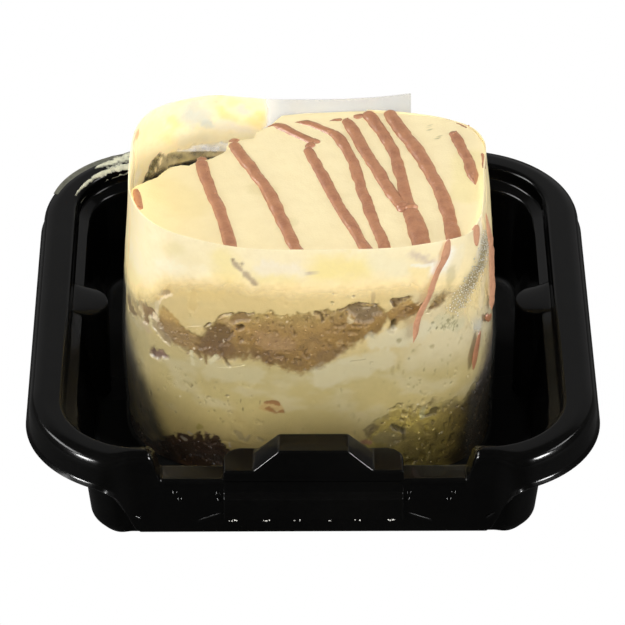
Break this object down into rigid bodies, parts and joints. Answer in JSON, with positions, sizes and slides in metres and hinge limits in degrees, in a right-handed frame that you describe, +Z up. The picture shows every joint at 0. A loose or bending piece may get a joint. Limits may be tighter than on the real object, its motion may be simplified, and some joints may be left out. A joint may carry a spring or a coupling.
{
  "type": "tres leches cake",
  "caption": "Layered milk-soaked sponge and cream cake with a drizzled top, wrapped in a clear film collar and standing in a square black plastic tray.",
  "frame": {"origin": "middle of the overall width and depth, at the tray's underside", "axes": "+Z up, the tray's latch notch faces -Y, +X to the right seen from the front"},
  "size_m": [0.14, 0.1378, 0.0705],
  "materials": {
    "tray_plastic": "glossy black formed sheet",
    "soaked_sponge": "wet open crumb, soaked in milk syrup",
    "sponge": "moist brown open crumb",
    "cream": "soft pale yellow whipped cream",
    "caramel": "set milk caramel drizzle with a soft sheen",
    "clear_film": "clear glossy film, smeared with cream and misted"
  },
  "bodies": {
    "root": {"tray": "tray_plastic", "sponge_base": "soaked_sponge", "cream_lower": "cream", "sponge_middle": "sponge", "cream_top": "cream", "film_collar": "clear_film"}
  },
  "joints": []
}
